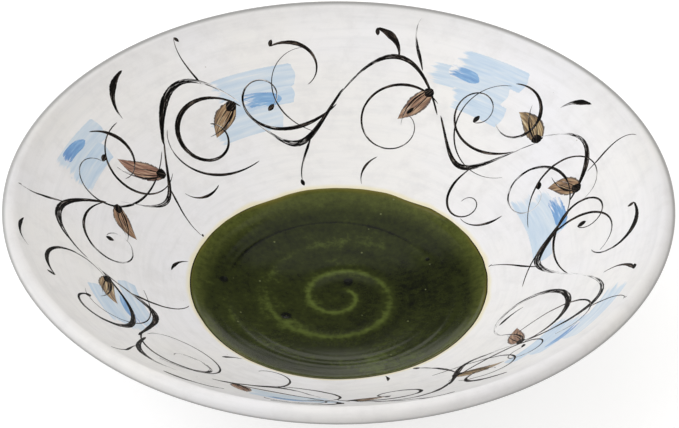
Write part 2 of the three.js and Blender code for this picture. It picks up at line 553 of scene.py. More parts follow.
greenCoat = {
    # darkest: the deepest glaze, and the painted shade in the pits
    "darkestGreen": "#0c0e07",
    "thick": "#1c200a",
    "body": "#2d3311",
    "thin": "#55612a",
    "olive": "#5a612a",
    "oliveWidth": 9.0,
    "amber": "#6f6428",
    "edgeLine": "#15180b",
    "bubble": "#7c8257",  # the fine bubbles that healed just under the surface
    "bubbleSpacing": 8,
    "mottleSize": 2.2,
    "streakSize": 9,
}


def pooledGreenGlaze():
    # Copper and iron ash glaze, poured and melted into a glassy pool: almost black where it is
    # deep, olive where it runs thin over the ridge, amber where it feathers out at the edge
    material, tree = newMaterial("pooled copper-green ash glaze")
    place = addNode(tree, "ShaderNodeTexCoord")
    thin, inward, feather, line = (
        addNode(tree, "ShaderNodeAttribute", {"attribute_name": name})
        for name in ("thin", "fromEdge", "feather", "edgeLine")
    )
    mottle = addNode(
        tree, "ShaderNodeTexNoise",
        {"Scale": 1 / (greenCoat["mottleSize"] * mm), "Detail": 5.0, "Roughness": 0.75},
        {"Vector": place.outputs["Object"]},
    )
    drift = addNode(
        tree, "ShaderNodeTexNoise", {"Scale": 1 / (greenCoat["streakSize"] * mm), "Detail": 3.0},
        {"Vector": place.outputs["Object"]},
    )
    mottled = addNode(
        tree, "ShaderNodeMath", {"operation": "MULTIPLY_ADD", 1: 1.0, 2: -0.42},
        {0: mottle.outputs["Fac"]},
    )
    drifted = addNode(
        tree, "ShaderNodeMath", {"operation": "MULTIPLY_ADD", 1: 0.5},
        {0: drift.outputs["Fac"], 2: mottled.outputs["Value"]},
    )
    # lighter where the melt is thin; the attribute also carries painted shade and highlights in the
    # pits and a painted reflection
    shallow = addNode(
        tree, "ShaderNodeMath", {"operation": "MULTIPLY_ADD", 1: 0.85},
        {0: thin.outputs["Fac"], 2: drifted.outputs["Value"]},
    )
    depth = addNode(
        tree, "ShaderNodeValToRGB",
        {"stops": ((0.0, greenCoat["darkestGreen"]), (0.16, greenCoat["thick"]), (0.52, greenCoat["body"]),
                   (1.0, greenCoat["thin"]))},
        {"Fac": shallow.outputs["Value"]},
    )
    band = addNode(
        tree, "ShaderNodeMapRange",
        {"interpolation_type": "SMOOTHSTEP", "From Min": 0.0, "From Max": greenCoat["oliveWidth"],
         "To Min": 1.3, "To Max": 0.0},
        {"Value": inward.outputs["Fac"]},
    )
    bandPatch = addNode(
        tree, "ShaderNodeMath", {"operation": "MULTIPLY", "use_clamp": True},
        {0: band.outputs["Result"], 1: mottle.outputs["Fac"]},
    )
    bubbles = addNode(
        tree, "ShaderNodeTexVoronoi", {"Scale": 1 / (greenCoat["bubbleSpacing"] * mm)},
        {"Vector": place.outputs["Object"]},
    )
    bubble = addNode(
        tree, "ShaderNodeMapRange",
        {"From Min": 0.03, "From Max": 0.06, "To Min": 0.6, "To Max": 0.0},
        {"Value": bubbles.outputs["Distance"]},
    )
    tone = depth.outputs["Color"]
    for name, share in (
        ("olive", bandPatch.outputs["Value"]), ("amber", feather.outputs["Fac"]),
        ("edgeLine", line.outputs["Fac"]), ("bubble", bubble.outputs["Result"]),
    ):
        layer = addNode(
            tree, "ShaderNodeMix", {"data_type": "RGBA", colourB: colour(greenCoat[name])},
            {0: share, colourA: tone},
        )
        tone = layer.outputs[mixed]
    skin = addNode(
        tree, "ShaderNodeBump", {"Strength": 0.25, "Distance": 0.05 * mm},
        {"Height": mottle.outputs["Fac"]},
    )
    shader = addNode(
        tree, "ShaderNodeBsdfPrincipled",
        {"Roughness": 0.16, "IOR": 1.52, "Specular IOR Level": 0.25},
        {"Base Color": tone, "Normal": skin.outputs["Normal"]},
    )
    addNode(tree, "ShaderNodeOutputMaterial", {}, {"Surface": shader.outputs["BSDF"]})
    return material


bareClay = {
    "buff": "#bba88c",
    "toast": "#96765a",
    "toastSize": 22,
    "grog": "#6f5c48",
    "grogSize": 1.6,
    "dragWidth": 0.5,
    "dragLength": 70,
}


def turnedStoneware():
    # Buff grogged stoneware, turned on the wheel and left unglazed: matt, toasted in the kiln,
    # with fine drag lines from the turning tool and dark grains of grog
    material, tree = newMaterial("turned buff stoneware")
    place = addNode(tree, "ShaderNodeTexCoord")
    flow = addNode(tree, "ShaderNodeAttribute", {"attribute_name": "flow"})
    clouds = addNode(
        tree, "ShaderNodeTexNoise", {"Scale": 1 / (bareClay["toastSize"] * mm), "Detail": 4.0},
        {"Vector": place.outputs["Object"]},
    )
    tone = addNode(
        tree, "ShaderNodeValToRGB",
        {"stops": ((0.35, bareClay["buff"]), (0.7, bareClay["toast"]))},
        {"Fac": clouds.outputs["Fac"]},
    )
    grains = addNode(
        tree, "ShaderNodeTexVoronoi", {"Scale": 1 / (bareClay["grogSize"] * mm)},
        {"Vector": place.outputs["Object"]},
    )
    grain = addNode(
        tree, "ShaderNodeMapRange",
        {"From Min": 0.12, "From Max": 0.26, "To Min": 0.7, "To Max": 0.0},
        {"Value": grains.outputs["Distance"]},
    )
    grogged = addNode(
        tree, "ShaderNodeMix", {"data_type": "RGBA", colourB: colour(bareClay["grog"])},
        {0: grain.outputs["Result"], colourA: tone.outputs["Color"]},
    )
    across, along = 1 / bareClay["dragWidth"], 1 / bareClay["dragLength"]
    stretch = addNode(
        tree, "ShaderNodeMapping", {"Scale": (across, along, along)},
        {"Vector": flow.outputs["Vector"]},
    )
    drag = addNode(
        tree, "ShaderNodeTexNoise", {"Scale": 1.0, "Detail": 3.0},
        {"Vector": stretch.outputs["Vector"]},
    )
    lines = addNode(
        tree, "ShaderNodeBump", {"Strength": 0.7, "Distance": 0.2 * mm},
        {"Height": drag.outputs["Fac"]},
    )
    pores = addNode(
        tree, "ShaderNodeBump", {"Strength": 0.6, "Distance": 0.15 * mm},
        {"Height": grains.outputs["Distance"], "Normal": lines.outputs["Normal"]},
    )
    shader = addNode(
        tree, "ShaderNodeBsdfPrincipled", {"Roughness": 0.88, "IOR": 1.5},
        {"Base Color": grogged.outputs[mixed], "Normal": pores.outputs["Normal"]},
    )
    addNode(tree, "ShaderNodeOutputMaterial", {}, {"Surface": shader.outputs["BSDF"]})
    return material


def brushed(name, look):
    # A pigment brushed on the white before the last firing. The brush's hairs leave streaks,
    # where the load runs out the white shows between them, and each stroke has its own mix
    material, tree = newMaterial(name)
    ground, streaks = glazeColour(tree)
    stroke = addNode(tree, "ShaderNodeUVMap", {"uv_map": "stroke"})
    load, edge, tint = (
        addNode(tree, "ShaderNodeAttribute", {"attribute_name": name})
        for name in ("load", "edge", "tint")
    )
    hairWidth, hairLength = look["hairs"]
    stretch = addNode(
        tree, "ShaderNodeMapping", {"Scale": (1 / hairLength, 1 / hairWidth, 1)},
        {"Vector": stroke.outputs["UV"]},
    )
    hairs = addNode(
        tree, "ShaderNodeTexNoise", {"Scale": 1.0, "Detail": 3.0, "Roughness": 0.6},
        {"Vector": stretch.outputs["Vector"]},
    )
    shiver = addNode(
        tree, "ShaderNodeTexNoise", {"Scale": 0.9, "Detail": 2.0},
        {"Vector": stroke.outputs["UV"]},
    )
    limit = addNode(
        tree, "ShaderNodeMath", {"operation": "MULTIPLY_ADD", 1: 0.36, 2: 0.67},
        {0: shiver.outputs["Fac"]},
    )
    inside = addNode(
        tree, "ShaderNodeMath", {"operation": "SUBTRACT"},
        {0: limit.outputs["Value"], 1: edge.outputs["Fac"]},
    )
    body = addNode(
        tree, "ShaderNodeMapRange", {"From Min": -0.03, "From Max": 0.06},
        {"Value": inside.outputs["Value"]},
    )
    wet = addNode(
        tree, "ShaderNodeMath", {"operation": "SUBTRACT"},
        {0: load.outputs["Fac"], 1: hairs.outputs["Fac"]},
    )
    laid = addNode(
        tree, "ShaderNodeMapRange", {"From Min": -0.06, "From Max": 0.1, "To Max": look["cover"]},
        {"Value": wet.outputs["Value"]},
    )
    share = addNode(
        tree, "ShaderNodeMath", {"operation": "MULTIPLY"},
        {0: body.outputs["Result"], 1: laid.outputs["Result"]},
    )
    one, other = (
        addNode(tree, "ShaderNodeValToRGB", {"stops": stops}, {"Fac": hairs.outputs["Fac"]})
        for stops in look["mixes"]
    )
    pigment = addNode(
        tree, "ShaderNodeMix", {"data_type": "RGBA"},
        {0: tint.outputs["Fac"], colourA: one.outputs["Color"], colourB: other.outputs["Color"]},
    )
    rimTone, rimStart, rimShown = look["rim"]
    rimShare = addNode(
        tree, "ShaderNodeMapRange",
        {"From Min": rimStart, "From Max": rimStart + 0.12, "To Max": rimShown},
        {"Value": edge.outputs["Fac"]},
    )
    outlined = addNode(
        tree, "ShaderNodeMix", {"data_type": "RGBA", colourB: colour(rimTone)},
        {0: rimShare.outputs["Result"], colourA: pigment.outputs[mixed]},
    )
    tone = addNode(
        tree, "ShaderNodeMix", {"data_type": "RGBA"},
        {0: share.outputs["Value"], colourA: ground, colourB: outlined.outputs[mixed]},
    )
    glazeSkin(tree, tone.outputs[mixed], streaks, *look["skin"])
    return material


whiteGlaze = dippedWhiteGlaze()
greenGlaze = pooledGreenGlaze()
clay = turnedStoneware()
print("materials made")


# White glaze: one coat from the pool's edge over the lip and down to the bare shoulder

coat = {
    "underPool": ((2.8, 0.55), (1.7, 0.16), (0.8, 0.04)),  # inward and down, under the pool
    "wallSteps": 80,
    "lipSteps": 18,
    "outerSteps": 48,
    "claySteps": 16,
    "shoulderStops": (0.4, 0.8),  # shares of the way down from the wall to the shoulder
    "endBends": (90, 60, 30, 0),  # degrees round the glaze's end at the shoulder
    "onClay": -99,  # slant of what lies on the clay, which nobody sees
    "outerTurn": 1.3,  # radians between the throwing marks inside and outside
    "haloWaves": 7,
    "haloRun": 0.9,
    "haloShift": 0.2,
    # the grey band of painted shade along the rim's silhouette, in degrees round the lip past the
    # silhouette, first on the near side and then on the far one
    "bandFades": (18, 42),
    "bandEnds": (47, 78),
    "bandFrom": (-60, -10),
    "silhouetteTilt": 1.25,
    "shadeEnd": 2.5,  # millimetres below the lip at which the painted shade ends
    "shadeLeast": 0.3,
    # grey of thin glaze over the lip and the wall under it, partly painted shade
    "lipThin": 0.24,
    "lipThinWidth": 11,  # on the wall below the lip
    "crestDims": (80, 130),  # degrees between which the thin glaze on the lip fades to half
}


def lipShadeAndThinningAt(lipAngle, angle):
    # A narrow grey band of painted shade along the rim's silhouette as the camera sees it: it lies
    # on the crest on the far side, and outside it on the near one. Added to it, a lighter grey of
    # thin glaze over the lip, partly painted shade, less on the near side
    past = lipAngle - math.degrees(math.atan(coat["silhouetteTilt"] * math.sin(angle)))
    farness = min(1 + math.sin(angle), 1)
    band = 1 - smooth(between(*coat["bandFades"], farness), between(*coat["bandEnds"], farness), past)
    band *= between(coat["shadeLeast"], 1, smooth(*coat["bandFrom"], past))
    thinned = coat["lipThin"] * between(coat["shadeLeast"], 1, farness)
    thinned *= 1 - 0.5 * smooth(*coat["crestDims"], lipAngle)
    return band + (1 - band) * thinned


def glazeSection():
    # The coat's closed profile, as places and their slant lengths from the pool's edge
    section = []
    for inward, down in coat["underPool"]:
        reach = form["poolRadius"] - inward
        section.append((Vector((reach, wellTop(reach) - down)), -inward))
    for step in range(coat["wallSteps"] + 1):
        slant = wallLength * step / coat["wallSteps"]
        section.append((wallPoint(shareAt(slant)), slant))
    for step in range(1, coat["lipSteps"]):
        share = step / coat["lipSteps"]
        place = onLip(lipStart - 180 * share, form["lipRadius"])
        section.append((place, wallLength + lipLength * share))
    for step in range(coat["outerSteps"] + 1):
        share = step / coat["outerSteps"]
        section.append((outerWall(1 - share), lipEnd + wallLength * share))
    shoulder = Vector((form["footRadius"] + form["shoulderFlare"],
                       form["footHeight"] + form["shoulderHeight"]))
    run = shoulder - outerWall(0, form["glaze"])
    down = run.normalized()
    outward = Vector((-down.y, down.x)) * form["glaze"]
    for share in coat["shoulderStops"]:
        place = shoulder - down * run.length * (1 - share) + outward
        section.append((place, outerEnd + run.length * share))
    for bend in coat["endBends"]:
        turned = math.radians(bend)
        around = outward * math.sin(turned) + down * math.cos(turned) * form["glaze"]
        section.append((shoulder - down * form["glaze"] + around, outerEnd + run.length))
    under = clayWall(form["glaze"], coat["claySteps"])
    return section + [(place, coat["onClay"]) for place in under]


def makeWhiteGlaze():
    bm = bmesh.new()
    slantLayer = bm.verts.layers.float.new("slant")
    places, marks = zip(*glazeSection())
    turnProfile(bm, places, form["glazeSides"], True, slantLayer, marks)
    bm.normal_update()
    flowLayer = bm.verts.layers.float_vector.new("flow")
    poolLayer = bm.verts.layers.float.new("fromPool")
    lipShadeLayer = bm.verts.layers.float.new("lipWear")
    for vert in bm.verts:
        angle = math.atan2(vert.co.y, vert.co.x)
        slant = vert[slantLayer]
        # the lip's grey: thin glaze on the wall under it, and on and outside it painted shade along
        # the rim's silhouette
        height, lipShading = 0.0, 0.0
        if 0 < slant < wallLength:
            height = throwing(slant, angle)
            belowLip = smooth(wallLength - coat["lipThinWidth"], wallLength, slant)
            lipShading = 0.5 * coat["lipThin"] * belowLip
        elif wallLength <= slant <= lipEnd:
            lipShading = lipShadeAndThinningAt(lipStart - 180 * (slant - wallLength) / lipLength, angle)
        elif slant > lipEnd:
            height = throwing(outerEnd - slant, angle + coat["outerTurn"])
            lipShading = smooth(coat["shadeEnd"], 0, slant - lipEnd) * lipShadeAndThinningAt(lipStop, angle)
        halo = coat["haloRun"] * noise.noise(roundAt(angle) * coat["haloWaves"])
        vert[flowLayer] = flowAt(slant, angle)
        vert[poolLayer] = slant - poolOutline(angle) + halo + coat["haloShift"]
        vert[lipShadeLayer] = lipShading
        vert.co = warped(vert.co + vert.normal * height)
    newPiece(
        bm, "white_glaze_coat", whiteGlaze,
        ("inner_white_glaze", "outer_white_glaze"),
    )


makeWhiteGlaze()


# Green pool: a disc of glassy glaze over the throwing spiral

def thinAndPaintedLightAt(x, y, rings, pit, crease):  # how light the green is there: lighter where the melt is thin, with painted shade and a painted highlight in the pits and a painted reflection on the near side
    seen = smooth(*pool["crestSeen"], math.hypot(x, y))
    amount, *sharpness = pool["crestThin"]
    thin = amount * seen * spiralRidge(x, y, *sharpness)
    amount, added, *sharpness = pool["shoulderThin"]
    thin += (amount + added * seen) * spiralRidge(x, y, *sharpness)
    # painted shade in the pits, and a painted highlight at their bottom
    thin += pool["ringThin"] * rings + pool["pitShade"] * pit + pool["creaseThin"] * crease
    thin += pool["pitHighlight"] * pitAt(x, y, pool["pitHighlightSharpness"])
    return thin + spotsAt(x, y, pool["thinPatchesAndReflection"])


def makeGreenPool():
    bm = bmesh.new()
    topLayer = bm.verts.layers.float.new("top")
    zone = form["poolRadius"] - pool["edgeZone"]
    reaches = [zone * step / pool["topRings"] for step in range(pool["topRings"])]
    reaches += [zone + pool["edgeZone"] * step / pool["edgeRings"]
                for step in range(pool["edgeRings"] + 1)]
    top = [Vector((reach, poolTop(reach))) for reach in reaches]
    under = []
    for step in range(pool["underRings"] + 1):
        reach = form["poolRadius"] * (1 - step / pool["underRings"])
        under.append(Vector((reach, wellTop(reach) - poolDepth(reach))))
    marks = [1] * len(top) + [0] * len(under)
    turnProfile(bm, top + under, form["glazeSides"], False, topLayer, marks)
    thinAndPaintedLightLayer = bm.verts.layers.float.new("thin")
    inwardLayer = bm.verts.layers.float.new("fromEdge")
    featherLayer = bm.verts.layers.float.new("feather")
    lineLayer = bm.verts.layers.float.new("edgeLine")
    for vert in bm.verts:
        x, y = vert.co.x, vert.co.y
        reach, angle = math.hypot(x, y), math.atan2(y, x)
        inward = form["poolRadius"] - reach
        around = roundAt(angle)
        outline = poolOutline(angle) * smooth(pool["edgeFrom"], form["poolRadius"], reach)
        vert[inwardLayer] = inward / (1 + pool["oliveLean"] * around.y)
        if not vert[topLayer]:
            vert.co = Vector((*pushedOut(vert.co, min(outline, 0)), vert.co.z))
            continue
        far = max(around.y, 0)
        allRound, onFarSide, chance, waves = pool["feather"]
        run = allRound + onFarSide * far + chance * noise.noise(around * waves)
        vert[featherLayer] = pool["featherShown"] * hill(inward, max(run, pool["leastFeather"]))
        allRound, onFarSide, chance, waves = pool["edgeLine"]
        chosen = noise.noise(around * waves + Vector((0, 0, 5)))
        drawn = allRound + onFarSide * far**3 + chance * chosen
        vert[lineLayer] = min(max(drawn, 0), 1) * smooth(*pool["edgeLineWidth"], inward)
        relief = spiralRidge(x, y, *pool["relief"]) * (1 - spotsAt(x, y, pool["filled"]))
        pit, crease = pitAt(x, y), creaseAt(reach, angle)
        height, middle, width, dropFrom, drop = pool["bead"]
        bead = height * (hill(inward - middle, width) - smooth(dropFrom, 0, inward) * drop)
        height, size = pool["swell"]
        swell = height * noise.noise(Vector((x, y, 4)) / size)
        height, count, driftsOver = pool["rings"]
        drift = Vector((count * reach + math.degrees(angle) / driftsOver, around.x, around.y))
        rings = height * noise.noise(drift) * smooth(*pool["ringsFrom"], reach)
        height, count, countRound = pool["ripples"]
        fine = Vector((count * reach, countRound * around.x, countRound * around.y))
        ripple = height * noise.noise(fine) * smooth(*pool["ripplesFrom"], reach)
        lift = pool["ridge"] * pool["ridgeShown"] * relief + bead
        lift -= pool["pitDepth"] * pit + pool["creaseDepth"] * crease
        lift += (swell + rings + ripple) * smooth(0, pool["levelEdge"], inward)
        # how light the green is: thin melt, with painted shade and highlights in the pits and a
        # painted reflection on the near side
        vert[thinAndPaintedLightLayer] = thinAndPaintedLightAt(x, y, rings, pit, crease)
        moved = pushedOut(vert.co, outline)
        level = poolTop(math.hypot(*moved)) - poolTop(reach)
        vert.co = Vector((*moved, vert.co.z + level + lift))
    newPiece(bm, "green_glaze_well", greenGlaze, ("green_glaze_pool",))


makeGreenPool()


# Clay: the thrown body, and the foot ring turned for it

bodyShape = {
    "inset": 0.06,  # under the glazes, so that the clay never shows through them
    "claySteps": 20,
    "baseRings": 14,
    "baseBorder": 1.2,
    "shoulderSteps": 6,
    "wellRings": 12,
}


def makeThrownBody():
    bm = bmesh.new()
    profile = []
    for step in range(bodyShape["baseRings"] + 1):
        reach = (form["footRadius"] - bodyShape["baseBorder"]) * step / bodyShape["baseRings"]
        profile.append(Vector((reach, form["footHeight"])))
    for step in range(bodyShape["shoulderSteps"] + 1):
        share = step / bodyShape["shoulderSteps"]
        profile.append(Vector((form["footRadius"] + form["shoulderFlare"] * share,
                               form["footHeight"] + form["shoulderHeight"] * share)))
    profile += clayWall(form["glaze"] + bodyShape["inset"], bodyShape["claySteps"])
    for step in range(1, bodyShape["wellRings"] + 1):
        reach = form["poolRadius"] * (1 - step / bodyShape["wellRings"])
        level = wellTop(reach) - poolDepth(reach) - bodyShape["inset"]
        profile.append(Vector((reach, level)))
    turnProfile(bm, profile, form["claySides"])
    markFlow(bm)
    for vert in bm.verts:
        vert.co = warped(vert.co)
    newPiece(bm, "thrown_body", clay, ("stoneware_body",))


foot = {"width": 7.5, "draft": 1.0, "round": 0.8, "roundSteps": 4, "wallCuts": 5}


def makeFootRing():
    bm = bmesh.new()
    outer, inner = form["footRadius"], form["footRadius"] - foot["width"]
    corners = [
        Vector((inner, form["footHeight"])),
        Vector((inner + foot["draft"], 0)),
        Vector((outer - foot["draft"], 0)),
        Vector((outer, form["footHeight"])),
    ]
    turnProfile(bm, corners, form["claySides"], True)
    bottom = [edge for edge in bm.edges
              if edge.verts[0].co.z + edge.verts[1].co.z < mergeDistance
              and abs(edge.verts[0].co.length - edge.verts[1].co.length) < 10 * mergeDistance]
    bmesh.ops.bevel(
        bm, geom=bottom, offset=foot["round"], affect="EDGES", segments=foot["roundSteps"],
        profile=0.5, material=-1,
    )
    walls = [edge for edge in bm.edges
             if abs(edge.verts[0].co.z - edge.verts[1].co.z) > form["footHeight"] / 2]
    bmesh.ops.subdivide_edges(bm, edges=walls, cuts=foot["wallCuts"], use_grid_fill=True)
    markFlow(bm)
    newPiece(bm, "turned_foot_ring", clay, ("foot_ring",))


makeThrownBody()
makeFootRing()


# Brushwork: strokes laid on the glazed wall. A place there is its slant height above the pool's
# edge in millimetres and its azimuth in degrees

brushing = {
    "seed": 2024,
    "within": (0.5, 1.2),  # no stroke runs under the pool's edge, or further past the lip's start
    "lengthSteps": 60,
    "leastSteps": 6,
    "spacing": 0.9,  # millimetres from one row of the mesh to the next
    "hairShift": 37.0,  # each stroke has hair marks and a mix of its own
    "tintShift": 0.37,
    "overlap": 0.0004,  # each stroke lies this much over the last one
    "sides": 0.03,  # depth to which a stroke's sides dip into the glaze
    "nose": 0.35,  # share of its width with which a brush is set down
    "tail": 0.12,
    "taper": 1.3,
    "noseRound": 0.03,  # share of the stroke over which each end is rounded
    "tailRound": 0.02,
    "flourishSteps": 90,
    "setDown": 10,  # steps before the brush can lift
    "lifts": (1.5, 1.0),  # distance from the pool's edge and the lip at which it does
}

rnd = random.Random(brushing["seed"])
strokeNumbers = itertools.count(1)


def glazePoint(slant, lift=0.0):  # (radius, height) on the wall, and on over the lip
    if slant <= wallLength:
        return wallPoint(shareAt(max(slant, 0)), -lift)
    past = math.degrees((slant - wallLength) / form["lipRadius"])
    return onLip(lipStart - past, form["lipRadius"] + lift)


def onGlaze(slant, angle, lift):
    place = glazePoint(slant, lift + throwing(slant, angle))
    return warped(Vector((place.x * math.cos(angle), place.x * math.sin(angle), place.y)))


def startBrush():
    bm = bmesh.new()
    layers = {name: bm.verts.layers.float.new(name) for name in ("load", "edge", "tint")}
    layers["flow"] = bm.verts.layers.float_vector.new("flow")
    layers["stroke"] = bm.loops.layers.uv.new("stroke")
    return bm, layers


def paint(brush, path, width, load, lift, spacing=brushing["spacing"], across=4):
    # path, width and load each give their value at a share of the stroke's length
    bm, layers = brush
    number = next(strokeNumbers)
    samples = [path(step / brushing["lengthSteps"]) for step in range(brushing["lengthSteps"] + 1)]
    length = sum(
        math.hypot(b[0] - a[0], math.radians(b[1] - a[1]) * glazePoint(a[0]).x)
        for a, b in zip(samples, samples[1:])
    )
    steps = max(int(length / spacing), brushing["leastSteps"])
    lowest, past = brushing["within"]
    made = bmesh.ops.create_grid(bm, x_segments=steps, y_segments=across, size=0.5)
    for vert in made["verts"]:
        share, side = vert.co.x + 0.5, 2 * vert.co.y
        slant, azimuth = path(share)
        before, after = path(max(share - 0.01, 0)), path(min(share + 0.01, 1))
        reach = glazePoint(slant).x
        up = after[0] - before[0]
        along = math.radians(after[1] - before[1]) * reach
        size = math.hypot(up, along) or 1
        half = width(share) / 2
        slantThere = slant + side * half * along / size
        slantThere = min(max(slantThere, lowest), wallLength + past)
        angle = math.radians(azimuth) - side * half * up / size / reach
        top = lift + brushing["overlap"] * number
        vert.co = onGlaze(slantThere, angle, top * (1 - side**4) - brushing["sides"] * side**4)
        vert[layers["load"]] = load(share)
        vert[layers["edge"]] = abs(side)
        vert[layers["tint"]] = brushing["tintShift"] * number % 1
        vert[layers["flow"]] = flowAt(slantThere, angle)
        for loop in vert.link_loops:
            loop[layers["stroke"]].uv = (share * length + brushing["hairShift"] * number, side * half)


def rounded(share, over, least=0.02):  # width of a stroke's rounded end, as a share of its full one
    return min(1, (share / over + least) ** 0.5)


def tapered(belly, widest, tail=brushing["tail"]):
    # A brush set down, pressed and drawn off: blunt start, full middle, thin tail
    def width(share):
        if share < widest:
            pressed = between(brushing["nose"], 1, smooth(0, widest, share))
            return belly * pressed * rounded(share, brushing["noseRound"])
        drawn = ((1 - share) / (1 - widest)) ** brushing["taper"]
        return belly * between(tail, 1, drawn) * rounded(1 - share, brushing["tailRound"])
    return width


def oval(width):
    return lambda share: width * max(math.sin(math.pi * share), 0.02) ** 0.6


def drying(start, amount, power=1.0):  # a brush's load, as it runs out
    return lambda share: start - amount * share**power


def flourish(slant, azimuth, towards, length, firstBend, lastBend, power=1.6):
    # A free stroke of the arm: it sets off towards a heading and its bend, one over its radius,
    # changes along the way. Headings are in degrees from the direction of growing azimuth. The
    # brush lifts where it comes to the pool's edge or the lip
    steps = brushing["flourishSteps"]
    lowest, lip = brushing["lifts"]
    turn = math.radians(towards)
    places = [(slant, azimuth)]
    for step in range(steps):
        share = (step + 0.5) / steps
        turn += between(firstBend, lastBend, share**power) * length / steps
        reach = glazePoint(slant).x
        slant += math.sin(turn) * length / steps
        azimuth += math.degrees(math.cos(turn) * length / steps / reach)
        if not lowest < slant < wallLength - lip and step > brushing["setDown"]:
            break
        places.append((slant, azimuth))
    last = len(places) - 1
    def path(share):
        at = min(max(share, 0), 1) * last
        low = min(int(at), last - 1)
        return tuple(between(a, b, at - low) for a, b in zip(places[low], places[low + 1]))
    return path


# Mist: bands of pale cobalt in groups, with a darker dab in each

mist = {
    "groups": ((58, 52), (112, 40), (158, 58), (203, 34), (262, 46), (322, 55), (12, 30)),
    "rows": (2, 3, 3),
    "rowSpacing": 8.0,
    "length": (22, 40),
    "width": (9.0, 12.5),
    "aside": (-5, 5),
    "shift": (-1, 1),
    "tilt": (-1.5, 1.5),
    "lift": 0.02,
    "pale": {
        "mixes": (
            ((0.32, "#a9c4de"), (0.52, "#bed2e5"), (0.72, "#d6dfe8")),
            ((0.32, "#bdd0e0"), (0.52, "#cedae5"), (0.72, "#dde3e8")),
        ),
        "rim": ("#b4c7df", 0.72, 0.4),  # colour, where it starts and how much it covers
        "hairs": (1.8, 22.0),  # width and length of the marks
        "cover": 0.85,
        "skin": whiteCoat["skin"],
    },
    "dabLength": (13, 20),
    "dabWidth": (5.5, 8.0),
    "dabAside": (-4, 4),
    "dabShift": (-3, 3),
    "dabBow": 1.2,
    "dabLift": 0.032,
    "deep": {
        "mixes": (
            ((0.32, "#3a7bbe"), (0.52, "#5f98ce"), (0.72, "#98bee0")),
            ((0.32, "#5690c8"), (0.52, "#79a9d4"), (0.72, "#abc9e2")),
        ),
        "rim": ("#3f74bd", 0.7, 0.35),
        "hairs": (1.2, 9.0),
        "cover": 0.88,
        "skin": whiteCoat["skin"],
    },
}


def roundPlate(middle, level, length, rise):  # a stroke that runs round the plate at one height
    half = math.degrees(length / 2 / wallReach(level))
    return lambda share: (level + rise(share), middle + half * (2 * share - 1))


def makeMist():
    pale, deep = startBrush(), startBrush()
    for azimuth, slant in mist["groups"]:
        for row in range(rnd.choice(mist["rows"])):
            length, width = rnd.uniform(*mist["length"]), rnd.uniform(*mist["width"])
            middle = azimuth + rnd.uniform(*mist["aside"])
            level = slant + (row - 1) * mist["rowSpacing"] + rnd.uniform(*mist["shift"])
            tilt = rnd.uniform(*mist["tilt"])
            band = roundPlate(middle, level, length, lambda share: tilt * (share - 0.5))
            blunt = lambda share: width * rounded(min(share, 1 - share), 0.04, 0.03)
            ragged = lambda share: 0.86 - 0.16 * share - 0.36 * smooth(0.8, 1, share)
            paint(pale, band, blunt, ragged, mist["lift"], 1.0, 10)
        length = rnd.uniform(*mist["dabLength"])
        level = slant + rnd.uniform(*mist["dabShift"])
        middle = azimuth + rnd.uniform(*mist["dabAside"])
        dab = roundPlate(middle, level, length, lambda share: mist["dabBow"] * math.sin(2 * share))
        width = rnd.uniform(*mist["dabWidth"])
        pressed = lambda share: width * min(rounded(share, 0.25), rounded(1 - share, 0.12))
        paint(deep, dab, pressed, drying(0.88, 0.42), mist["dabLift"], 0.8, 8)
    washed = brushed("pale cobalt wash", mist["pale"])
    inked = brushed("cobalt blue dabs", mist["deep"])
    newPiece(pale[0], "blue_mist_washes", washed)
    newPiece(deep[0], "cobalt_dabs", inked)


# Vine and leaves: a scroll that waves round the plate, one bay to each half wave

